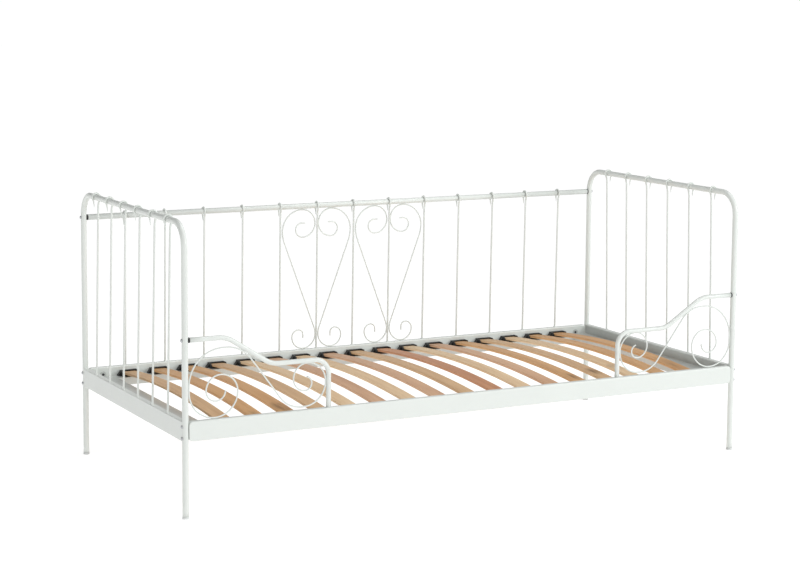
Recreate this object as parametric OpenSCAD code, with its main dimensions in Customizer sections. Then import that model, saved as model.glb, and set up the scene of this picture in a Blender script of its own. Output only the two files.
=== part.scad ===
// Metal daybed: two tube hoops, a rodded back panel, two low front guards and a bowed slat base.
// X runs along the bed, Y from front to back, Z up. The origin is on the floor under the middle.

/* [Frame] */
// Distance between the post axes along the bed
post_span_x = 2060; // [1860:10:2160]
// Distance between the post axes across the bed
post_span_y = 930; // [900:10:980]
// Height of the end hoops, to the top of the tube
hoop_h = 921; // [890:1:960]
// Outside diameter of the hoop tube and the back tube
frame_d = 20; // [18:1:22]
// Wall thickness of all the tubes
wall = 1.5; // [1.2:0.1:2]
// Bend radius of the hoop corners, on the tube axis
hoop_bend = 75; // [60:5:90]
// Height of the axis of the back tube
back_tube_z = 829; // [800:1:850]

/* [Rails] */
// Height of the top of the rails
rail_top = 304; // [290:1:320]
// Height of the rail section
rail_h = 62; // [60:1:66]
// Width of the rail section
rail_w = 20; // [18:1:22]
// Radius of the long edges of the rail section
rail_edge = 2.5; // [2:0.5:4]
// Depth of the ledge below the top of the rails
ledge_drop = 33; // [30:1:36]
// Width of the ledges that carry the slats
ledge_w = 50; // [45:1:60]
// Width of the shelf at each end
shelf_w = 88; // [70:1:90]
// Sheet thickness of the ledges and shelves
sheet = 2; // [1.5:0.5:3]
// Depth of the folded lip of the ledges and shelves
lip_h = 26; // [18:1:28]

/* [Rods] */
// Diameter of the upright rods
rod_d = 7; // [6:0.5:8]
// Number of rods in each end hoop
end_rods = 6; // [4:1:7]
// Number of rods in the back panel
back_rods_n = 13; // [13:1:13]
// Inward lean of a rod for each millimetre of its height
rod_slope = 0.02; // [0:0.01:0.02]
// Radius of the curve that leads a rod into its hook
crook_r = 80; // [70:5:90]

/* [Scrolls] */
// Diameter of the scroll wire
wire_d = 5; // [4:0.5:6]

/* [Guards] */
// Outside diameter of the guard tube
guard_d = 16; // [14:1:18]
// Height of the guard tube at the post
guard_high = 555; // [540:1:570]
// Height of the low run of the guard tube
guard_low = 459; // [450:1:465]
// Length of the guard along the rail, to the axis of its drop
guard_len = 484; // [480:1:500]

/* [Slats] */
// Number of slats
slat_n = 17; // [15:1:17]
// Spacing of the slats
slat_pitch = 110; // [105:1:110]
// Width of a slat
slat_w = 53; // [48:1:56]
// Thickness of a slat
slat_t = 8; // [7:0.5:9]
// Rise of a slat at mid-length
slat_rise = 24; // [15:1:30]

/* [Hidden] */
$fn = 48;
wire_fn = 24;
slack = 0.15;           // gap left where a round part lies against another
fit = 0.1;              // radial gap of a bolt or peg in its hole
px = post_span_x / 2;
py = post_span_y / 2;
frame_r = frame_d / 2;
hoop_z = hoop_h - frame_r;
rail_bottom = rail_top - rail_h;
inner_y = py - rail_w / 2;
inner_x = px - rail_w / 2;
ledge_top = rail_top - ledge_drop;
rail_end = px - frame_r;
plate_t = 3;
bolt_r = 3;
bolt_z = [rail_bottom + 10, rail_top - 16];
bolt_head_r = 5.5;
bolt_head_h = 4;
nut_af = 10;
nut_h = 5;
spacer_t = 4;
sleeve_l = 22;          // insert in the end of a tube
tube_bolt_l = 42;
screw_l = 8;
cap_r = frame_r + 1;      // sole of a foot cap
cap_h = 8;
cap_floor = 3;
rod_r = rod_d / 2;
wire_r = wire_d / 2;
crook_a = atan2(44, 117);  // turn of the curve that leads a rod into its hook
crook_run = 2;          // straight between that curve and the hook
holder_wall = 3.5;
holder_floor = 3;
holder_h = 18;
holder_l = 34;
peg_r = 4;
peg_h = 9;
slat_l = 2 * (inner_y - 5);
slat_z = ledge_top + holder_floor + 1;
slat_bend = (slat_l * slat_l / 4 + slat_rise * slat_rise) / (2 * slat_rise);
slat_half_a = asin(slat_l / 2 / slat_bend);
end_pitch = post_span_y / (end_rods + 1);
back_pitch = post_span_x / (back_rods_n + 1);
shelf_x = inner_x - shelf_w;
liner_top = rail_top - 4;  // top of the flange that lines the end rail
tab_x = px - 60;
tab_r = 14;
tab_z = ledge_top + 7;
screw_r = 2;
guard_r = guard_d / 2;

function two(i) = str(i < 10 ? "0" : "", i);

// ---- shapes shared by several parts ----

// Ring or disc section of a tube or a bar; w is its wall, 0 for solid
module round_section(r, w, fn) {
    if (w == 0) circle(r, $fn = fn);
    else difference() {
        circle(r, $fn = fn);
        circle(r - w, $fn = fn);
    }
}

// Bent bar or tube in the XY plane, starting at the origin along +X.
// Each step is [length, 0] for a straight or [radius, turn] for a bend; a left turn is positive.
module bent(steps, r, w = 0, fn = 48, i = 0) {
    if (i < len(steps)) {
        size = steps[i][0];
        turn = steps[i][1];
        side = sign(turn);
        if (turn == 0) {
            rotate([0, 90, 0]) linear_extrude(size) round_section(r, w, fn);
            translate([size, 0, 0]) bent(steps, r, w, fn, i + 1);
        } else {
            translate([0, side * size, 0]) {
                rotate([0, 0, min(turn, 0) - 90 * side])
                    rotate_extrude(angle = abs(turn), $fn = 96)
                        translate([size, 0]) round_section(r, w, fn);
                rotate([0, 0, turn]) translate([0, -side * size, 0]) bent(steps, r, w, fn, i + 1);
            }
        }
    }
}

// Stands a shape drawn in XY up in the XZ plane
module upright() {
    rotate([90, 0, 0]) children();
}

module mirrored_x(side) {
    if (side > 0) children();
    else mirror([1, 0, 0]) children();
}

module mirrored_y(side) {
    if (side > 0) children();
    else mirror([0, 1, 0]) children();
}

// Rectangle with rounded corners, centred
module round_rect(w, h, r) {
    square([w - 2 * r, h], center = true);
    square([w, h - 2 * r], center = true);
    for (x = [-1, 1], y = [-1, 1]) translate([x * (w / 2 - r), y * (h / 2 - r)]) circle(r, $fn = 32);
}

module hexagon(af) {
    circle(af / 2 / cos(30), $fn = 6);
}

// Domed bolt: head at the origin, shank along +X
module bolt(length, r, head_r, head_h) {
    rotate([0, 90, 0]) {
        cylinder(h = length, r = r, $fn = 32);
        rotate_extrude($fn = 32)
            polygon([[0, 0], [head_r, 0], [head_r, -0.3 * head_h], [0.84 * head_r, -0.7 * head_h],
                     [0.5 * head_r, -0.93 * head_h], [0, -head_h]]);
    }
}

// Places its children at every post, with +X pointing in along the bed
module at_posts() {
    for (sx = [-1, 1], sy = [-1, 1]) translate([sx * px, sy * py, 0]) mirrored_x(-sx) children();
}

// ---- end hoops ----

module hoop(side) {
    leg = hoop_z - hoop_bend - cap_floor;
    color("whitesmoke") difference() {
        translate([side * px, -py, cap_floor]) rotate([0, -90, 0])
            bent([[leg, 0], [hoop_bend, 90], [post_span_y - 2 * hoop_bend, 0], [hoop_bend, 90], [leg, 0]],
                 frame_r, wall);
        for (sy = [-1, 1], z = bolt_z) cross_hole(side * px, sy * py, z);
        cross_hole(side * px, py, back_tube_z);
        cross_hole(side * px, -py, guard_high);
    }
}

module cross_hole(x, y, z) {
    translate([x, y, z]) rotate([0, 90, 0]) cylinder(h = frame_d + 2, r = bolt_r + fit, center = true, $fn = 32);
}

module foot_caps() {
    color("gainsboro") at_posts() rotate_extrude()
        polygon([[0, 0], [cap_r - 1, 0], [cap_r, 1], [cap_r, cap_floor], [frame_r + 0.5, cap_h],
                 [frame_r + 0.05, cap_h], [frame_r + 0.05, cap_floor], [0, cap_floor]]);
}

// ---- rails ----

module rail_section() {
    difference() {
        round_rect(rail_w, rail_h, rail_edge);
        square([rail_w - 2 * wall, rail_h - 2 * wall], center = true);
    }
}

// Rail along Y between the posts of one end, cut to fit round them
module end_rail(side) {
    color("whitesmoke") difference() {
        translate([side * px, 0, rail_top - rail_h / 2]) rotate([90, 0, 0])
            linear_extrude(2 * py, center = true) rail_section();
        for (sy = [-1, 1]) translate([side * px, sy * py, rail_bottom - 1])
            cylinder(h = rail_h + 2, r = frame_r + 0.02);
    }
}

// Rail along X, closed by a drilled plate at each end; side is -1 at the front
module side_rail(side) {
    color("whitesmoke") difference() {
        translate([0, side * py, rail_top - rail_h / 2]) rotate([90, 0, 90]) {
            linear_extrude(2 * (rail_end - plate_t), center = true) rail_section();
            for (sx = [-1, 1]) translate([0, 0, sx * (rail_end - plate_t / 2)])
                linear_extrude(plate_t, center = true) round_rect(rail_w, rail_h, rail_edge);
        }
        for (sx = [-1, 1]) {
            for (z = bolt_z) translate([sx * rail_end, side * py, z]) rotate([0, 90, 0])
                cylinder(h = 4 * plate_t, r = bolt_r + fit, center = true, $fn = 32);
            translate([sx * tab_x, side * inner_y, tab_z]) rotate([90, 0, 0])
                cylinder(h = 3 * wall, r = screw_r + fit, center = true, $fn = 32);
        }
    }
}

// Folded ledge along a side rail, with a peg hole for each slat holder
module ledge(side) {
    color("gainsboro") difference() {
        mirrored_y(side) rotate([90, 0, 90]) linear_extrude(2 * shelf_x, center = true)
            polygon([[inner_y, ledge_top], [inner_y - ledge_w, ledge_top], [inner_y - ledge_w, ledge_top - lip_h],
                     [inner_y - ledge_w + sheet, ledge_top - lip_h], [inner_y - ledge_w + sheet, ledge_top - sheet],
                     [inner_y, ledge_top - sheet]]);
        for (i = [1:slat_n]) translate([slat_x(i), side * (inner_y - holder_l / 2), ledge_top - sheet / 2])
            cylinder(h = 3 * sheet, r = peg_r + fit, center = true);
    }
}

// Folded shelf between the last slat and the end rail, with a flange up the rail and a tab at each end
module shelf(side) {
    color("gainsboro") mirrored_x(side) {
        rotate([90, 0, 0]) linear_extrude(2 * inner_y, center = true)
            polygon([[inner_x - sheet, ledge_top], [shelf_x, ledge_top], [shelf_x, ledge_top - lip_h],
                     [shelf_x + sheet, ledge_top - lip_h], [shelf_x + sheet, ledge_top - sheet],
                     [inner_x, ledge_top - sheet], [inner_x, liner_top], [inner_x - sheet, liner_top]]);
        for (sy = [-1, 1]) mirrored_y(sy) difference() {
            translate([tab_x, inner_y, ledge_top]) rotate([90, 0, 0]) linear_extrude(sheet) {
                translate([0, tab_z - ledge_top]) circle(tab_r - 3);
                translate([3 - tab_r, -sheet]) square([2 * tab_r - 6, tab_z - ledge_top + sheet]);
            }
            translate([tab_x, inner_y, tab_z]) rotate([90, 0, 0])
                cylinder(h = 3 * sheet, r = screw_r + fit, center = true, $fn = 32);
        }
    }
}

module shelf_screws() {
    color("dimgray") for (sx = [-1, 1], sy = [-1, 1])
        translate([sx * tab_x, sy * (inner_y - sheet), tab_z]) rotate([0, 0, 90 * sy])
            bolt(screw_l, screw_r, 4.5, 3);
}

// ---- upright rods, each hooked round a tube ----

// Rod in its own plane: X outward from the post plane, Y up, foot on the rail, hook round a tube at height top
module hooked_rod(top) {
    hook_r = frame_r + rod_r + slack;
    lean = asin(rod_slope);
    reach = hook_r + crook_r;
    side = reach * cos(crook_a) - crook_r - crook_run * sin(crook_a);
    up = (top - rail_top - side * rod_slope) / cos(lean);
    straight = up - reach * sin(crook_a) - crook_run * cos(crook_a);
    translate([up * rod_slope - side * cos(lean), rail_top + rod_r * rod_slope, 0]) rotate([0, 0, 90 + lean])
        bent([[straight, 0], [crook_r, crook_a], [crook_run, 0], [hook_r, -180 - 2 * crook_a],
              [crook_run, 0], [crook_r, crook_a]], rod_r, 0, wire_fn);
}

// Rod i of an end hoop, counted from the back
module end_rod(side, i) {
    color("whitesmoke") mirrored_x(side) translate([px, py - i * end_pitch, 0]) upright() hooked_rod(hoop_z);
}

module back_rods() {
    color("whitesmoke") for (i = [1:back_rods_n]) translate([i * back_pitch - px, py, 0])
        rotate([0, 0, 90]) upright() hooked_rod(back_tube_z);
}

// ---- back panel ----

module back_tube() {
    color("whitesmoke") translate([-rail_end + spacer_t, py, back_tube_z])
        bent([[2 * (rail_end - spacer_t), 0]], frame_r, wall);
}

// Half of a heart, drawn left of its middle rod at X = 0, with Y as height
module heart_scroll() {
    diagonal = atan2(44, 117);
    translate([-45, 767, 0]) rotate([0, 0, 180])
        bent([[15, 0], [24, 90], [27.5, 90], [49.5, 90], [51.3, 90], [78, 90], [120, diagonal], [336, 0],
              [70, -diagonal], [50, -90], [43, -90], [26, -90], [18, -90], [14, 0]],
             wire_r, 0, wire_fn);
}

// Scrolls 1 and 2 make the left heart, 3 and 4 the right one
module back_scroll(i) {
    color("whitesmoke") translate([(i < 3 ? -1 : 1) * back_pitch, py, 0]) upright()
        mirrored_x(i % 2 == 1 ? 1 : -1) heart_scroll();
}

// ---- front guards ----

// Guard in the plane of the front posts, drawn for the left post at X = 0 with Y as height
module guard_tube(side) {
    fall = atan2(336, 527);
    swing = 90;
    corner = 48;
    high_run = 96;
    start = frame_r + spacer_t;
    sway = 2 * swing * sin(fall);
    drop = 2 * swing * (1 - cos(fall));
    slope = (guard_high - guard_low - drop) / sin(fall);
    low_run = guard_len - start - high_run - sway - slope * cos(fall) - corner;
    color("whitesmoke") mirrored_x(-side) translate([-px + start, -py, guard_high]) upright()
        bent([[high_run, 0], [swing, -fall], [slope, 0], [swing, fall], [low_run, 0], [corner, -90],
              [guard_low - corner - rail_top, 0]], guard_r, wall);
}

module guard_scroll(side) {
    fall = atan2(4, 3);
    color("whitesmoke") mirrored_x(-side) translate([-px + 132.7, -py, 389.5]) upright() rotate([0, 0, -90])
        bent([[31, -90], [33, -90], [49, -90], [56, -90], [77, -90], [84, -90], [20, 0], [112, -90],
              [11, 0], [102, -fall], [166, 0], [92, fall], [7, 0], [76, 90], [63, 90], [48, 90], [40, 90],
              [23, 90], [22, 80]],
             wire_r, 0, wire_fn);
}

// ---- joints of the back tube and the guards ----

module at_tube_ends() {
    for (sx = [-1, 1]) {
        translate([sx * px, py, back_tube_z]) mirrored_x(-sx) rotate([0, 90, 0]) children(0);
        translate([sx * px, -py, guard_high]) mirrored_x(-sx) rotate([0, 90, 0]) children(1);
    }
}

module collar(r, hole, from, length) {
    translate([0, 0, from]) difference() {
        cylinder(h = length, r = r);
        translate([0, 0, -1]) cylinder(h = length + 2, r = hole, $fn = 32);
    }
}

module tube_spacers() {
    color("black") at_tube_ends() {
        collar(frame_r, bolt_r + fit, frame_r, spacer_t);
        collar(guard_r + 0.5, bolt_r + fit, frame_r, spacer_t);
    }
}

module tube_inserts() {
    color("silver") at_tube_ends() {
        collar(frame_r - wall - 0.05, bolt_r + 0.05, frame_r + spacer_t, sleeve_l);
        collar(guard_r - wall - 0.05, bolt_r + 0.05, frame_r + spacer_t, sleeve_l);
    }
}

module tube_bolts() {
    color("silver") for (sx = [-1, 1]) {
        translate([sx * (px + frame_r), py, back_tube_z]) mirrored_x(-sx) bolt(tube_bolt_l, bolt_r, bolt_head_r, bolt_head_h);
        translate([sx * (px + frame_r), -py, guard_high]) mirrored_x(-sx) bolt(tube_bolt_l, bolt_r, bolt_head_r, bolt_head_h);
    }
}

module rail_bolts() {
    color("silver") at_posts() for (z = bolt_z) translate([-frame_r, 0, z])
        bolt(frame_d + plate_t + nut_h + 2, bolt_r, bolt_head_r, bolt_head_h);
}

module rail_nuts() {
    color("silver") at_posts() for (z = bolt_z) translate([frame_r + plate_t, 0, z]) rotate([0, 90, 0])
        difference() {
            linear_extrude(nut_h) hexagon(nut_af);
            translate([0, 0, -1]) cylinder(h = nut_h + 2, r = bolt_r + 0.05, $fn = 32);
        }
}

// ---- slats ----

function slat_x(i) = (i - (slat_n + 1) / 2) * slat_pitch;

module slat(i) {
    edge = 1.5;
    w = slat_w / 2;
    color("burlywood") translate([slat_x(i), 0, slat_z + slat_rise - slat_bend])
        rotate([0, -90, 0]) rotate([0, 0, -slat_half_a])
            rotate_extrude(angle = 2 * slat_half_a, $fn = 1440) translate([slat_bend, 0])
                polygon([[0, -w + edge], [edge, -w], [slat_t - edge, -w], [slat_t, -w + edge],
                         [slat_t, w - edge], [slat_t - edge, w], [edge, w], [0, w - edge]]);
}

// Shoe that holds the end of a slat, drawn for the back rail with its wall side at Y = 0
module slat_holder() {
    w = slat_w + 2 * holder_wall + 1;
    inside = slat_w + 1;
    difference() {
        translate([-w / 2, -holder_l, 0]) cube([w, holder_l, holder_h]);
        translate([-inside / 2, -holder_l - 1, holder_floor]) cube([inside, holder_l - 3, holder_h - holder_floor - 3]);
        translate([-inside / 2, -holder_l - 1, holder_floor]) cube([inside, holder_l - 9, holder_h]);
        translate([-w / 2 - 1, -holder_l, holder_h]) rotate([0, 90, 0]) cylinder(h = w + 2, r = 6);
    }
    for (sx = [-1, 1]) mirrored_x(sx) translate([w / 2 - 0.01, -1, 0]) rotate([90, 0, 0])
        linear_extrude(16) polygon([[0, 0], [10, 0], [10, 2], [0, 14]]);
    translate([0, -holder_l / 2, -peg_h]) cylinder(h = peg_h + 1, r = peg_r);
}

module slat_holders(side) {
    color("black") for (i = [1:slat_n]) translate([slat_x(i), 0, ledge_top]) mirrored_y(side)
        translate([0, inner_y, 0]) slat_holder();
}

hoop(-1);  // left_hoop
hoop(1);  // right_hoop
end_rail(-1);  // left_end_rail
end_rail(1);  // right_end_rail
side_rail(-1);  // front_rail
side_rail(1);  // back_rail
shelf(-1);  // left_shelf
shelf(1);  // right_shelf
ledge(-1);  // front_ledge
ledge(1);  // back_ledge
for (i = [1:end_rods]) end_rod(-1, i);
for (i = [1:end_rods]) end_rod(1, i);
back_tube();
back_rods();
for (i = [1:4]) back_scroll(i);
guard_tube(-1);  // left_guard_tube
guard_tube(1);  // right_guard_tube
guard_scroll(-1);  // left_guard_scroll
guard_scroll(1);  // right_guard_scroll
for (i = [1:slat_n]) slat(i);
slat_holders(-1);  // front_slat_holders
slat_holders(1);  // back_slat_holders
foot_caps();
tube_spacers();
tube_inserts();
rail_bolts();
rail_nuts();
tube_bolts();
shelf_screws();
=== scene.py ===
"""White metal daybed: powder-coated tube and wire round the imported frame, with bowed wooden slats."""

import math

import bmesh
import bpy
from mathutils import Matrix, Vector


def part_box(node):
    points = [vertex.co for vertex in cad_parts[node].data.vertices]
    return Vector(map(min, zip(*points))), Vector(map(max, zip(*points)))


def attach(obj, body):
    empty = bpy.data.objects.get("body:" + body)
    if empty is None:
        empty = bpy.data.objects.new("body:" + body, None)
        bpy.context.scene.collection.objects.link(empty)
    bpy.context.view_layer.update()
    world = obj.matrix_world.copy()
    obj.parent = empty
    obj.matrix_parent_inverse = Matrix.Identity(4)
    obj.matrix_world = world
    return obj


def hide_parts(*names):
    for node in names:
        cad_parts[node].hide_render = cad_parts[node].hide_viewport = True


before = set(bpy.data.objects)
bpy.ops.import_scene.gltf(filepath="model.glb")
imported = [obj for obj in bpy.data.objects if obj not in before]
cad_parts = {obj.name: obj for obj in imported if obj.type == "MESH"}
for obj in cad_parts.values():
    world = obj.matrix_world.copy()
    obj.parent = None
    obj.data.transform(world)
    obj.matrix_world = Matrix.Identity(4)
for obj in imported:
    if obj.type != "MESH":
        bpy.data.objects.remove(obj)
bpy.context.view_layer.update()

MM = 0.001

# ---- sizes read from the frame ----

HOOP_LO, HOOP_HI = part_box("left_hoop")
TUBE_R = (HOOP_HI[0] - HOOP_LO[0]) / 2
POST_X = -(HOOP_LO[0] + HOOP_HI[0]) / 2
POST_Y = HOOP_HI[1] - TUBE_R
HOOP_Z = HOOP_HI[2] - TUBE_R
FRONT_LO, FRONT_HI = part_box("front_rail")
RAIL_TOP = FRONT_HI[2]
RAIL_BOTTOM = FRONT_LO[2]
RAIL_W = FRONT_HI[1] - FRONT_LO[1]
RAIL_END = FRONT_HI[0]
BACK_LO, BACK_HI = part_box("back_tube")
BACK_Z = (BACK_LO[2] + BACK_HI[2]) / 2
GUARD_LO, GUARD_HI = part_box("left_guard_tube")
GUARD_R = (GUARD_HI[1] - GUARD_LO[1]) / 2
GUARD_HIGH = GUARD_HI[2] - GUARD_R
WIRE_R = (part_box("heart_scroll_1")[1][1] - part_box("heart_scroll_1")[0][1]) / 2
ROD_R = (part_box("left_rod_1")[1][1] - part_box("left_rod_1")[0][1]) / 2
END_RODS = 6
BACK_RODS = 13
SLATS = 17
END_PITCH = 2 * POST_Y / (END_RODS + 1)
BACK_PITCH = 2 * POST_X / (BACK_RODS + 1)

# ---- sizes that the frame's boxes don't give ----

HOOP_BEND = 75 * MM
SLACK = 0.15 * MM
CROOK_R = 80 * MM
CROOK_TURN = math.degrees(math.atan2(44, 117))
CROOK_RUN = 2 * MM
ROD_LEAN = 0.02
BOLT_Z = [RAIL_BOTTOM + 10 * MM, RAIL_TOP - 16 * MM]
BOLT_HEAD_R = 5.5 * MM
BOLT_HEAD_H = 4 * MM
BOLT_SHANK_R = 3 * MM
RAIL_BOLT_L = 30 * MM
TUBE_BOLT_L = 42 * MM

# ---- sizes of details that only the looks have ----

WELD_H = 2.2 * MM
KNOT_HALF_WIDTH = 0.03
KNOT_HALF_HEIGHT = 0.08
KNOT_Z = 0.295
# Angles, in radians, of the rings that round off the end of a bar
DOME_ANGLES = (0.45, 0.9, 1.35)


# ---- mesh helpers ----


def add_piece(name, verts, faces, material, replaces=()):
    """A mesh that rides on the frame, made from vertices and faces."""
    mesh = bpy.data.meshes.new(name)
    mesh.from_pydata([tuple(v) for v in verts], [], faces)
    mesh.validate()
    mesh.update()
    bm = bmesh.new()
    bm.from_mesh(mesh)
    bmesh.ops.recalc_face_normals(bm, faces=bm.faces)
    bm.to_mesh(mesh)
    bm.free()
    mesh.polygons.foreach_set("use_smooth", [True] * len(mesh.polygons))
    piece = bpy.data.objects.new(name, mesh)
    bpy.context.scene.collection.objects.link(piece)
    mesh.materials.append(material)
    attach(piece, "root")
    if replaces:
        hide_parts(*replaces)
    return piece


class Shape:
    """Vertices and faces gathered from several closed shells."""

    def __init__(self):
        self.verts = []
        self.faces = []

    def add(self, verts, faces, place=None):
        base = len(self.verts)
        self.verts += [place @ Vector(v) if place else Vector(v) for v in verts]
        self.faces += [[base + i for i in f] for f in faces]

    def piece(self, name, material, slot, replaces=()):
        return add_piece(name, self.verts, self.faces, material, replaces)


def rings_to_shell(rings):
    """Faces between rings of equal length, and one face across each end."""
    n = len(rings[0])
    verts = [v for ring in rings for v in ring]
    faces = []
    for i in range(len(rings) - 1):
        for k in range(n):
            a, b = i * n + k, i * n + (k + 1) % n
            faces.append([a, b, b + n, a + n])
    faces.append(list(range(n)))
    faces.append(list(range((len(rings) - 1) * n, len(rings) * n)))
    return verts, faces


def sweep(points, radius, sides, round_ends=True, taper=None):
    """A round bar along points; taper gives the share of the radius at a share of the length."""
    pts = [Vector(p) for p in points]
    total = sum((b - a).length for a, b in zip(pts, pts[1:]))
    tangents = []
    for i in range(len(pts)):
        a, b = pts[max(i - 1, 0)], pts[min(i + 1, len(pts) - 1)]
        tangents.append((b - a).normalized())
    up = Vector((0, 0, 1)) if abs(tangents[0].z) < 0.9 else Vector((1, 0, 0))
    normal = (up - tangents[0] * up.dot(tangents[0])).normalized()
    stations = []
    done = 0.0
    for i, (p, t) in enumerate(zip(pts, tangents)):
        if i:
            done += (p - pts[i - 1]).length
            normal = (normal - t * normal.dot(t)).normalized()
        size = radius * (taper(done / total) if taper else 1.0)
        stations.append((p, t, normal.copy(), size))
    if round_ends:
        p, t, nrm, size = stations[0]
        start = [(p - t * size * math.sin(a) + t * size, t, nrm, size * math.cos(a))
                 for a in reversed(DOME_ANGLES)]
        p, t, nrm, size = stations[-1]
        end = [(p + t * size * math.sin(a) - t * size, t, nrm, size * math.cos(a))
               for a in DOME_ANGLES]
        first, last = stations[0], stations[-1]
        stations[0] = (first[0] + first[1] * first[3], *first[1:])
        stations[-1] = (last[0] - last[1] * last[3], *last[1:])
        stations = start + stations + end
    rings = []
    for p, t, nrm, size in stations:
        side = t.cross(nrm)
        ring = []
        for k in range(sides):
            a = 2 * math.pi * k / sides
            ring.append(p + nrm * size * math.cos(a) + side * size * math.sin(a))
        rings.append(ring)
    return rings_to_shell(rings)


def lathe(profile, sides):
    """A closed shell turned about Z from (radius, height) points, closed at both ends."""
    rings = []
    for r, z in profile:
        ring = []
        for k in range(sides):
            a = 2 * math.pi * k / sides
            ring.append(Vector((r * math.cos(a), r * math.sin(a), z)))
        rings.append(ring)
    return rings_to_shell(rings)


def bend_path(start, heading, steps, fine=4.0):
    """Points of a bent wire in a plane.

    Each step is (length, 0) or (radius, turn in degrees), a left turn being positive.
    """
    x, y = start
    a = math.radians(heading)
    points = [(x, y)]
    for size, turn in steps:
        if turn == 0:
            count = max(1, round(size / (40 * MM)))
            for k in range(1, count + 1):
                points.append((x + size * k / count * math.cos(a), y + size * k / count * math.sin(a)))
        else:
            side = 1 if turn > 0 else -1
            cx, cy = x - side * size * math.sin(a), y + side * size * math.cos(a)
            count = max(2, math.ceil(abs(turn) / fine))
            for k in range(1, count + 1):
                b = a + math.radians(turn) * k / count
                points.append((cx + side * size * math.sin(b), cy - side * size * math.cos(b)))
            a += math.radians(turn)
        x, y = points[-1]
    return points


def in_mm(steps):
    return [(size * MM, turn) for size, turn in steps]


def soften(piece, width):
    """Rounds the sharp edges of a piece a little and keeps its flats flat."""
    bevel = piece.modifiers.new("edge", "BEVEL")
    bevel.width = width
    bevel.segments = 2
    bevel.limit_method = "ANGLE"
    bevel.angle_limit = math.radians(45)
    piece.modifiers.new("shade", "WEIGHTED_NORMAL")


def facing(direction):
    """A turn that takes +Z to a direction."""
    return Vector((0, 0, 1)).rotation_difference(Vector(direction)).to_matrix().to_4x4()


# ---- materials ----


class Nodes:
    """Short calls for building a material's node tree."""

    def __init__(self, name):
        self.material = bpy.data.materials.new(name)
        self.material.use_nodes = True
        self.tree = self.material.node_tree
        self.shader = self.tree.nodes["Principled BSDF"]

    def new(self, kind, **values):
        node = self.tree.nodes.new(kind)
        for key, value in values.items():
            setattr(node, key, value)
        return node

    def link(self, a, b):
        self.tree.links.new(a, b)

    def where(self, scale, offset=(0, 0, 0)):
        """Object coordinates, scaled and shifted."""
        coords = self.new("ShaderNodeTexCoord")
        mapping = self.new("ShaderNodeMapping")
        mapping.inputs["Scale"].default_value = scale
        mapping.inputs["Location"].default_value = offset
        self.link(coords.outputs["Object"], mapping.inputs["Vector"])
        return mapping.outputs["Vector"]

    def noise(self, vector, scale, detail, roughness=0.5):
        node = self.new("ShaderNodeTexNoise")
        node.inputs["Scale"].default_value = scale
        node.inputs["Detail"].default_value = detail
        node.inputs["Roughness"].default_value = roughness
        self.link(vector, node.inputs["Vector"])
        return node.outputs["Fac"]

    def ramp(self, fac, stops):
        node = self.new("ShaderNodeValToRGB")
        elements = node.color_ramp.elements
        while len(elements) < len(stops):
            elements.new(0.5)
        for element, (position, colour) in zip(elements, stops):
            element.position = position
            element.color = (*colour, 1.0)
        self.link(fac, node.inputs["Fac"])
        return node.outputs["Color"]

    def spread(self, fac, low, high, from_low=0.3, from_high=0.7):
        node = self.new("ShaderNodeMapRange")
        node.inputs["From Min"].default_value = from_low
        node.inputs["From Max"].default_value = from_high
        node.inputs["To Min"].default_value = low
        node.inputs["To Max"].default_value = high
        self.link(fac, node.inputs["Value"])
        return node.outputs["Result"]

    def mix(self, fac, a, b):
        node = self.new("ShaderNodeMix")
        node.data_type = "RGBA"
        for value, key in ((fac, 0), (a, 6), (b, 7)):
            if isinstance(value, (int, float)):
                node.inputs[key].default_value = value
            elif isinstance(value, tuple):
                node.inputs[key].default_value = (*value, 1.0)
            else:
                self.link(value, node.inputs[key])
        return node.outputs[2]

    def bump(self, height, distance, strength, under=None):
        node = self.new("ShaderNodeBump")
        node.inputs["Distance"].default_value = distance
        node.inputs["Strength"].default_value = strength
        self.link(height, node.inputs["Height"])
        if under is not None:
            self.link(under, node.inputs["Normal"])
        return node.outputs["Normal"]

    def set(self, **values):
        for key, value in values.items():
            self.shader.inputs[key.replace("_", " ")].default_value = value

    def out(self, **sockets):
        for key, socket in sockets.items():
            self.link(socket, self.shader.inputs[key.replace("_", " ")])
        return self.material


def powder_coat(name, tone, mottle=0.025):
    """Satin powder coat: faint orange peel, uneven gloss and faint specks of dust."""
    n = Nodes(name)
    peel = n.noise(n.where((1, 1, 1)), 900, 2.0)
    cloud = n.noise(n.where((1, 1, 1)), 9, 4.0)
    dust = n.noise(n.where((1, 1, 1)), 60, 6.0, 0.65)
    base = n.ramp(cloud, [(0.3, tuple(c * (1 - mottle) for c in tone)), (0.7, tone)])
    specks = n.spread(dust, 0.0, 2 * mottle, 0.5, 0.8)
    colour = n.mix(specks, base, tuple(c * 0.7 for c in tone))
    n.set(IOR=1.5, Coat_Weight=0.25, Coat_Roughness=0.18)
    return n.out(Base_Color=colour, Roughness=n.spread(dust, 0.3, 0.42), Normal=n.bump(peel, 0.00006, 0.35))


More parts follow.
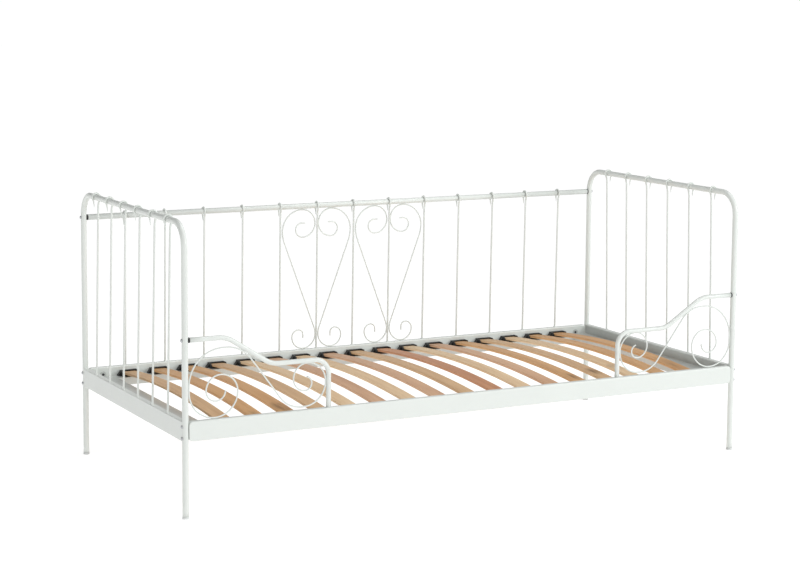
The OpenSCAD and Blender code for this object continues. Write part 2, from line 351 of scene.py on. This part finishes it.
def laminated_wood(name, pale, dark, seed, knot):
    """Lacquered wood: long grain, pores and slow colour drift, with a dark knot where one is given."""
    n = Nodes(name)
    shift = (seed * 1.7, seed * 0.9, seed * 2.3)
    drift = n.noise(n.where((6, 1.2, 6), shift), 1.0, 2.0)
    figure = n.noise(n.where((42, 1.6, 42), shift), 1.0, 5.0, 0.6)
    pores = n.noise(n.where((900, 22, 900), shift), 1.0, 3.0, 0.7)
    middle = tuple((a + b) / 2 for a, b in zip(pale, dark))
    grain = n.ramp(figure, [(0.32, dark), (0.5, middle), (0.68, pale)])
    colour = n.mix(n.spread(drift, 0.0, 0.45), grain, tuple(c * 0.86 for c in pale))
    colour = n.mix(n.spread(pores, 0.0, 0.3, 0.52, 0.75), colour, tuple(c * 0.5 for c in dark))
    if knot:
        x, y, length, depth = knot
        blot = n.new("ShaderNodeTexGradient", gradient_type="SPHERICAL")
        reach = (KNOT_HALF_WIDTH, length, KNOT_HALF_HEIGHT)
        shrink = tuple(1 / r for r in reach)
        centre = tuple(-c / r for c, r in zip((x, y, KNOT_Z), reach))
        n.link(n.where(shrink, centre), blot.inputs["Vector"])
        rings = n.noise(n.where((60, 7, 60), shift), 1.0, 4.0, 0.6)
        blend = n.new("ShaderNodeMath", operation="MULTIPLY")
        n.link(n.spread(blot.outputs["Fac"], 0.0, depth, 0.0, 0.75), blend.inputs[0])
        n.link(n.spread(rings, 0.1, 1.0, 0.35, 0.65), blend.inputs[1])
        colour = n.mix(blend.outputs[0], colour, (0.12, 0.055, 0.02))
    n.set(IOR=1.45, Specular_IOR_Level=0.3, Coat_Weight=0.08, Coat_Roughness=0.3)
    normal = n.bump(pores, 0.00025, 0.5, n.bump(figure, 0.0004, 0.3))
    return n.out(Base_Color=colour, Roughness=n.spread(figure, 0.42, 0.58), Normal=normal)


def moulded_plastic(name, tone, rough):
    """Moulded plastic with a fine spark-eroded texture and faint flow marks."""
    n = Nodes(name)
    grit = n.noise(n.where((1, 1, 1)), 2600, 2.0)
    flow = n.noise(n.where((1, 1, 3)), 35, 4.0)
    dull = tuple(c * 0.8 for c in tone)
    bright = tuple(min(c * 1.2 + 0.004, 1) for c in tone)
    colour = n.ramp(flow, [(0.3, dull), (0.7, bright)])
    n.set(IOR=1.48)
    return n.out(Base_Color=colour, Roughness=n.spread(flow, rough - 0.08, rough + 0.08),
                 Normal=n.bump(grit, 0.00008, 0.6))


def plated_steel(name, tone, rough):
    """Plated or blackened steel: fine turning marks and a cloudy coat."""
    n = Nodes(name)
    cloud = n.noise(n.where((1, 1, 1)), 260, 4.0)
    marks = n.noise(n.where((300, 4000, 4000)), 1.0, 2.0)
    colour = n.ramp(cloud, [(0.3, tuple(c * 0.75 for c in tone)), (0.7, tone)])
    n.set(Metallic=1.0)
    return n.out(Base_Color=colour, Roughness=n.spread(cloud, rough - 0.06, rough + 0.1),
                 Normal=n.bump(marks, 0.00004, 0.5))


WHITE = powder_coat("white_powder_coat", (0.69, 0.72, 0.69))
# Shelves and ledges: partly a grey coat and partly painted shade. The coat is darker than the white frame
# to stand for the shade inside the bed, under the slats.
GREY_WITH_PAINTED_SHADE = powder_coat("grey_shelf_coat_painted_shade", (0.56, 0.585, 0.56), 0.14)
BLACK = moulded_plastic("black_shoe_plastic", (0.018, 0.017, 0.018), 0.42)
PALE = moulded_plastic("pale_cap_plastic", (0.62, 0.64, 0.63), 0.4)
RUBBER = moulded_plastic("black_spacer_rubber", (0.02, 0.02, 0.021), 0.62)
ZINC = plated_steel("zinc_plate", (0.6, 0.61, 0.63), 0.3)
DARK = plated_steel("black_oxide", (0.09, 0.09, 0.095), 0.42)

WOODS = {
    "tan": ((0.76, 0.515, 0.30), (0.57, 0.335, 0.165)),
    "pale": ((0.86, 0.65, 0.42), (0.71, 0.47, 0.26)),
    "orange": ((0.75, 0.455, 0.225), (0.57, 0.285, 0.11)),
    "rose": ((0.77, 0.50, 0.32), (0.58, 0.325, 0.185)),
    "red": ((0.66, 0.34, 0.19), (0.50, 0.22, 0.11)),
}
SLAT_WOOD = ["tan", "orange", "orange", "tan", "pale", "rose", "pale", "rose", "tan", "red", "pale", "rose",
             "orange", "tan", "pale", "orange", "orange"]
# Slats with a dark knot: metres from the slat's front end, half-length in metres, strength of its colour
KNOTS = {3: (0.10, 0.07, 0.8), 2: (0.05, 0.05, 0.5), 13: (0.11, 0.06, 0.75), 14: (0.14, 0.05, 0.8),
         15: (0.17, 0.05, 0.8), 17: (0.13, 0.12, 0.6)}


# ---- the white frame ----


def hoops():
    leg = HOOP_Z - HOOP_BEND - HOOP_LO[2]
    steps = [(leg, 0), (HOOP_BEND, -90), (2 * POST_Y - 2 * HOOP_BEND, 0), (HOOP_BEND, -90), (leg, 0)]
    for side, name in ((-1, "left"), (1, "right")):
        path = bend_path((-POST_Y, HOOP_LO[2]), 90, steps)
        shape = Shape()
        shape.add(*sweep([(side * POST_X, y, z) for y, z in path], TUBE_R, 32, False))
        shape.piece(name + "_hoop_tube", WHITE, "white_paint", [name + "_hoop"])


def side_rails():
    """Box rails with a soft top edge and rounded end corners."""
    height = RAIL_TOP - RAIL_BOTTOM
    mid = (RAIL_TOP + RAIL_BOTTOM) / 2
    top_r = 5 * MM
    low_r = 2 * MM
    corner = 12 * MM
    for side, name in ((-1, "front"), (1, "back")):
        section = []
        for sy, sz, r in ((1, 1, top_r), (-1, 1, top_r), (-1, -1, low_r), (1, -1, low_r)):
            angles = [0, 22.5, 45, 67.5, 90]
            for d in angles if sy * sz > 0 else angles[::-1]:
                a = math.radians(d)
                across = sy * (RAIL_W / 2 - r + r * math.cos(a))
                above = sz * (height / 2 - r + r * math.sin(a))
                section.append((across, above))
        stations = [(-RAIL_END + corner * (1 - math.cos(math.radians(15 * k))),
                     corner * (1 - math.sin(math.radians(15 * k)))) for k in range(7)]
        stations += [(-x, inset) for x, inset in stations[::-1]]
        rings = []
        for x, inset in stations:
            squeeze = (height - 2 * inset) / height
            rings.append([Vector((x, side * POST_Y + y, mid + z * squeeze)) for y, z in section])
        shape = Shape()
        shape.add(*rings_to_shell(rings))
        piece = shape.piece(name + "_rail_box", WHITE, "white_paint", [name + "_rail"])
        soften(piece, 0.8 * MM)


def plain_steel():
    """CAD parts whose shape stays: only their edges are softened."""
    for node in ("left_end_rail", "right_end_rail"):
        dress(node, WHITE, 0.4 * MM)
    for node in ("left_shelf", "right_shelf", "front_ledge", "back_ledge"):
        # The shelves and ledges get the grey coat that carries painted shade.
        dress(node, GREY_WITH_PAINTED_SHADE, 0.4 * MM)
    dress("tube_spacers", RUBBER, 0.5 * MM)
    dress("tube_inserts", ZINC, 0.2 * MM)
    dress("rail_nuts", ZINC, 0.2 * MM)


def dress(node, material, edge):
    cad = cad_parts[node]
    cad.data.materials.clear()
    cad.data.materials.append(material)
    soften(cad, edge)


# ---- rods ----


def rod_path(top):
    """A rod's centre line: outward from the post plane, and height."""
    hook = TUBE_R + ROD_R + SLACK
    turn = math.radians(CROOK_TURN)
    reach = hook + CROOK_R
    side = reach * math.cos(turn) - CROOK_R - CROOK_RUN * math.sin(turn)
    up = (top - RAIL_TOP - side * ROD_LEAN) / math.cos(math.asin(ROD_LEAN))
    straight = up - reach * math.sin(turn) - CROOK_RUN * math.cos(turn)
    start = (up * ROD_LEAN - side, RAIL_TOP + ROD_R * ROD_LEAN)
    steps = [(straight, 0), (CROOK_R, CROOK_TURN), (CROOK_RUN, 0), (hook, -180 - 2 * CROOK_TURN),
             (CROOK_RUN, 0), (CROOK_R, CROOK_TURN)]
    return bend_path(start, 90 + math.degrees(math.asin(ROD_LEAN)), steps, 5.0)


def tail_taper(share):
    """Full width up to the tail, which narrows towards its tip."""
    thin_from = 0.955
    tip = 0.3
    return 1.0 if share < thin_from else 1.0 - (1.0 - tip) * (share - thin_from) / (1 - thin_from)


def weld_bead(shape, place, radius, height):
    """A low collar of weld round a rod or wire where it meets steel."""
    shares = [(0.3, 0.0), (1.75, 0.0), (1.6, 0.3), (1.25, 0.7), (1.02, 1.0), (0.3, 1.0)]
    profile = [(radius * across, height * up) for across, up in shares]
    shape.add(*lathe(profile, 16), place)


def rods():
    welds = Shape()
    end_path = rod_path(HOOP_Z)
    for side, name in ((-1, "left"), (1, "right")):
        for i in range(1, END_RODS + 1):
            y = POST_Y - i * END_PITCH
            line = [(side * (POST_X + u), y, z) for u, z in end_path]
            shape = Shape()
            shape.add(*sweep(line, ROD_R, 14, True, tail_taper))
            shape.piece("%s_rod_bar_%d" % (name, i), WHITE, "white_paint", ["%s_rod_%d" % (name, i)])
            foot = Matrix.Translation((side * (POST_X + end_path[0][0]), y, RAIL_TOP))
            weld_bead(welds, foot, ROD_R, WELD_H)
    back = Shape()
    back_path = rod_path(BACK_Z)
    for i in range(1, BACK_RODS + 1):
        x = i * BACK_PITCH - POST_X
        back.add(*sweep([(x, POST_Y + u, z) for u, z in back_path], ROD_R, 14, True, tail_taper))
        foot = Matrix.Translation((x, POST_Y + back_path[0][0], RAIL_TOP))
        weld_bead(welds, foot, ROD_R, WELD_H)
    back.piece("back_rod_bars", WHITE, "white_paint", ["back_rods"])
    welds.piece("rod_welds", WHITE, "white_paint")


# ---- back panel and guards ----


def back_tube():
    line = [(x, POST_Y, BACK_Z) for x in (BACK_LO[0], 0, BACK_HI[0])]
    shape = Shape()
    shape.add(*sweep(line, TUBE_R, 32, False))
    shape.piece("back_top_tube", WHITE, "white_paint", ["back_tube"])


def heart_path():
    slope = math.degrees(math.atan2(44, 117))
    return bend_path((-45 * MM, 767 * MM), 180, in_mm(
        [(15, 0), (24, 90), (27.5, 90), (49.5, 90), (51.3, 90), (78, 90), (120, slope), (336, 0),
         (70, -slope), (50, -90), (43, -90), (26, -90), (18, -90), (14, 0)]))


def guard_scroll_path():
    slope = math.degrees(math.atan2(4, 3))
    return bend_path((-POST_X + 132.7 * MM, 389.5 * MM), -90, in_mm(
        [(31, -90), (33, -90), (49, -90), (56, -90), (77, -90), (84, -90), (20, 0), (112, -90), (11, 0),
         (102, -slope), (166, 0), (92, slope), (7, 0), (76, 90), (63, 90), (48, 90), (40, 90), (23, 90),
         (22, 80)]))


def guard_tube_path():
    fall = math.atan2(336, 527)
    turn = math.degrees(fall)
    swing = 90 * MM
    corner = 48 * MM
    high_run = 96 * MM
    low = 459 * MM
    start = GUARD_LO[0]
    slope = (GUARD_HIGH - low - 2 * swing * (1 - math.cos(fall))) / math.sin(fall)
    across = GUARD_HI[0] - GUARD_R - start
    low_run = across - high_run - 2 * swing * math.sin(fall) - slope * math.cos(fall) - corner
    steps = [(high_run, 0), (swing, -turn), (slope, 0), (swing, turn), (low_run, 0), (corner, -90),
             (low - corner - RAIL_TOP, 0)]
    return bend_path((start, GUARD_HIGH), 0, steps)


def scrolls():
    for i in range(1, 5):
        middle = -BACK_PITCH if i < 3 else BACK_PITCH
        side = 1 if i % 2 == 1 else -1
        shape = Shape()
        shape.add(*sweep([(middle + side * u, POST_Y, z) for u, z in heart_path()], WIRE_R, 14))
        shape.piece("heart_wire_%d" % i, WHITE, "white_paint", ["heart_scroll_%d" % i])
    for side, name in ((1, "left"), (-1, "right")):
        shape = Shape()
        shape.add(*sweep([(side * u, -POST_Y, z) for u, z in guard_scroll_path()], WIRE_R, 14))
        shape.piece(name + "_guard_wire", WHITE, "white_paint", [name + "_guard_scroll"])
        shape = Shape()
        shape.add(*sweep([(side * u, -POST_Y, z) for u, z in guard_tube_path()], GUARD_R, 28, False))
        shape.piece(name + "_guard_bar", WHITE, "white_paint", [name + "_guard_tube"])


# ---- slats and their shoes ----


def slat(i):
    """A bowed slat with rounded edges."""
    name = "slat_%02d" % i
    (x0, y0, z0), (x1, y1, z1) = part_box(name)
    thick = 8 * MM
    rise = z1 - z0 - thick
    mid = (x0 + x1) / 2
    half = (y1 - y0) / 2
    bend = (half * half + rise * rise) / (2 * rise)
    r = 2.2 * MM
    section = []
    for sx, sz, first in ((1, 1, 0), (-1, 1, 90), (-1, -1, 180), (1, -1, 270)):
        for d in (0, 30, 60, 90):
            a = math.radians(first + d)
            across = sx * ((x1 - x0) / 2 - r) + r * math.cos(a)
            above = thick / 2 + sz * (thick / 2 - r) + r * math.sin(a)
            section.append((across, above))
    rings = []
    count = 48
    trimmed = 0.999  # share of the box's length, so that the board's ends stay inside it
    limit = math.asin(half * trimmed / (bend + thick))
    middle = z1 - thick - bend
    for k in range(count + 1):
        a = limit * (2 * k / count - 1)
        rings.append([Vector((mid + u, (bend + w) * math.sin(a), middle + (bend + w) * math.cos(a)))
                      for u, w in section])
    knot = KNOTS.get(i)
    place = (mid, y0 + knot[0], knot[1], knot[2]) if knot else None
    pale, dark = WOODS[SLAT_WOOD[i - 1]]
    wood = laminated_wood(name + "_wood", pale, dark, i, place)
    shape = Shape()
    shape.add(*rings_to_shell(rings))
    piece = shape.piece(name + "_board", wood, "slat_wood", [name])
    soften(piece, 0.8 * MM)


# ---- fixings ----


def bolt_heads():
    """Domed heads with a socket, and plain shanks through the posts."""
    def head(radius, height, length, shank):
        key = 0.45 * radius
        return [(0.02 * MM, length), (shank, length), (shank, 0.0), (radius, 0.0),
                (radius, -0.3 * height), (0.93 * radius, -0.52 * height), (0.8 * radius, -0.74 * height),
                (0.6 * radius, -0.92 * height), (key, -height), (key * 0.98, -0.45 * height),
                (0.02 * MM, -0.4 * height)]

    rail = Shape()
    tube = Shape()
    for sx in (-1, 1):
        turn = facing((-sx, 0, 0))
        for sy in (-1, 1):
            for z in BOLT_Z:
                place = Matrix.Translation((sx * (POST_X + TUBE_R), sy * POST_Y, z)) @ turn
                rail.add(*lathe(head(BOLT_HEAD_R, BOLT_HEAD_H, RAIL_BOLT_L, BOLT_SHANK_R), 24), place)
        for y, z in ((POST_Y, BACK_Z), (-POST_Y, GUARD_HIGH)):
            place = Matrix.Translation((sx * (POST_X + TUBE_R), y, z)) @ turn
            tube.add(*lathe(head(BOLT_HEAD_R, BOLT_HEAD_H, TUBE_BOLT_L, BOLT_SHANK_R), 24), place)
    rail.piece("rail_bolt_set", ZINC, "zinc_steel", ["rail_bolts"])
    tube.piece("tube_bolt_set", ZINC, "zinc_steel", ["tube_bolts"])


def caps():
    """Foot caps: a shallow cup that flares to a rounded sole."""
    profile = [(0.02, 0.0), (9.9, 0.0), (10.7, 0.3), (11.0, 1.0), (11.0, 2.6), (10.85, 3.6), (10.5, 7.4),
               (10.3, 8.0), (10.1, 7.9), (10.1, 3.0), (0.02, 3.0)]
    shape = Shape()
    for sx in (-1, 1):
        for sy in (-1, 1):
            place = Matrix.Translation((sx * POST_X, sy * POST_Y, 0))
            shape.add(*lathe([(r * MM, z * MM) for r, z in profile], 36), place)
    shape.piece("foot_cap_set", PALE, "pale_plastic", ["foot_caps"])


hoops()
side_rails()
plain_steel()
rods()
back_tube()
scrolls()
for number in range(1, SLATS + 1):
    slat(number)
dress("front_slat_holders", BLACK, 0.6 * MM)
dress("back_slat_holders", BLACK, 0.6 * MM)
dress("shelf_screws", DARK, 0.2 * MM)
bolt_heads()
caps()


# ---- studio ----


def floor():
    n = Nodes("studio_floor")
    n.set(Roughness=0.9, Specular_IOR_Level=0.1, Emission_Color=(1, 1, 1, 1), Emission_Strength=0.76)
    grain = n.noise(n.where((1, 1, 1)), 4.0, 3.0)
    n.out(Base_Color=n.ramp(grain, [(0.3, (0.49, 0.49, 0.49)), (0.7, (0.51, 0.51, 0.51))]))
    bpy.ops.mesh.primitive_plane_add(size=80)
    plane = bpy.context.object
    plane.name = "studio_floor"
    plane.data.materials.append(n.material)


def soft_box(name, place, target, width, height, power, tint=(1, 1, 1)):
    light = bpy.data.lights.new(name, "AREA")
    light.shape = "RECTANGLE"
    light.size = width
    light.size_y = height
    light.energy = power
    light.color = tint
    lamp = bpy.data.objects.new(name, light)
    bpy.context.scene.collection.objects.link(lamp)
    lamp.location = place
    lamp.rotation_euler = (Vector(target) - Vector(place)).to_track_quat("-Z", "Y").to_euler()


def camera():
    data = bpy.data.cameras.new("camera")
    eye = bpy.data.objects.new("camera", data)
    bpy.context.scene.collection.objects.link(eye)
    yaw, pitch, roll = math.radians(27.81), math.radians(-6.92), math.radians(0.42)
    ahead = Vector((math.sin(yaw) * math.cos(pitch), math.cos(yaw) * math.cos(pitch), math.sin(pitch)))
    right = Vector((math.cos(yaw), -math.sin(yaw), 0))
    up = right.cross(ahead)
    tilted_right = right * math.cos(roll) + up * math.sin(roll)
    tilted_up = up * math.cos(roll) - right * math.sin(roll)
    turn = Matrix((tilted_right, tilted_up, -ahead)).transposed().to_4x4()
    eye.matrix_world = Matrix.Translation((-3.2264, -6.0219, 1.652)) @ turn
    data.sensor_width = 36
    data.lens = 89.48
    data.shift_y = -0.08
    data.clip_end = 200
    bpy.context.scene.camera = eye


def surroundings():
    """A studio, bright in front and on the right and dark elsewhere, with a low white wall all round."""
    world = bpy.data.worlds.new("studio")
    world.use_nodes = True
    tree = world.node_tree
    coords = tree.nodes.new("ShaderNodeTexCoord")
    lit_side = tree.nodes.new("ShaderNodeVectorMath")
    lit_side.operation = "DOT_PRODUCT"
    lit_side.inputs[1].default_value = (0.55, -0.82, 0.15)
    level = tree.nodes.new("ShaderNodeMapRange")
    level.interpolation_type = "SMOOTHSTEP"
    level.inputs["From Min"].default_value = -0.5
    level.inputs["From Max"].default_value = 0.7
    level.inputs["To Min"].default_value = 0.03
    level.inputs["To Max"].default_value = 0.95
    tree.links.new(coords.outputs["Generated"], lit_side.inputs[0])
    tree.links.new(lit_side.outputs["Value"], level.inputs["Value"])
    height = tree.nodes.new("ShaderNodeSeparateXYZ")
    wall = tree.nodes.new("ShaderNodeMapRange")
    wall.inputs["From Min"].default_value = 0.18
    wall.inputs["From Max"].default_value = 0.34
    wall.inputs["To Min"].default_value = 1.02
    wall.inputs["To Max"].default_value = 0.0
    brighter = tree.nodes.new("ShaderNodeMath")
    brighter.operation = "MAXIMUM"
    tree.links.new(coords.outputs["Generated"], height.inputs["Vector"])
    tree.links.new(height.outputs["Z"], wall.inputs["Value"])
    tree.links.new(level.outputs["Result"], brighter.inputs[0])
    tree.links.new(wall.outputs["Result"], brighter.inputs[1])
    tree.links.new(brighter.outputs["Value"], tree.nodes["Background"].inputs["Strength"])
    tree.nodes["Background"].inputs["Color"].default_value = (1, 1, 1, 1)
    bpy.context.scene.world = world


floor()
camera()
soft_box("key", (4.2, -5.0, 2.6), (0, 0, 0.4), 2.0, 2.0, 110, (0.96, 1.0, 1.0))
soft_box("overhead", (0.2, -0.4, 3.6), (0.1, 0, 0.3), 2.4, 1.4, 28)
soft_box("left_fill", (-3.6, -1.4, 0.9), (-1.0, 0, 0.4), 1.2, 0.9, 6)
surroundings()
bpy.context.scene.view_settings.view_transform = "Standard"
bpy.context.scene.view_settings.look = "None"
